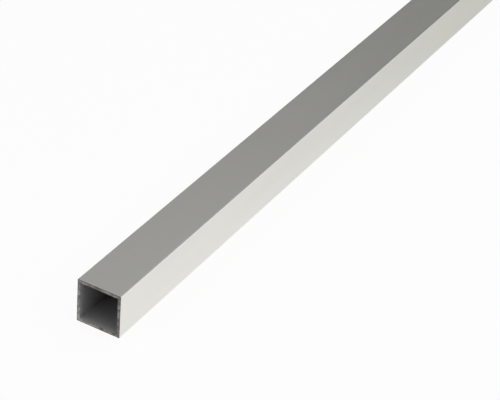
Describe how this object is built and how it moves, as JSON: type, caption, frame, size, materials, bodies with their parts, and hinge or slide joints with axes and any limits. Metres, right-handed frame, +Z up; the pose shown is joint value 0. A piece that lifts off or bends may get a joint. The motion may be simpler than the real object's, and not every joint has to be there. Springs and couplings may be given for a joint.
{
  "type": "square metal tube",
  "caption": "Straight hollow square tube of satin anodised aluminium with thin walls, crisp corners and sawn open ends.",
  "frame": {"origin": "middle of the underside, halfway between the sawn ends", "axes": "+X along the tube's length, +Y across it, +Z up"},
  "size_m": [1, 0.02, 0.02],
  "materials": {
    "anodised_aluminium": "satin anodised, ends sawn bare"
  },
  "bodies": {
    "root": {"square_tube": "anodised_aluminium"}
  },
  "joints": []
}
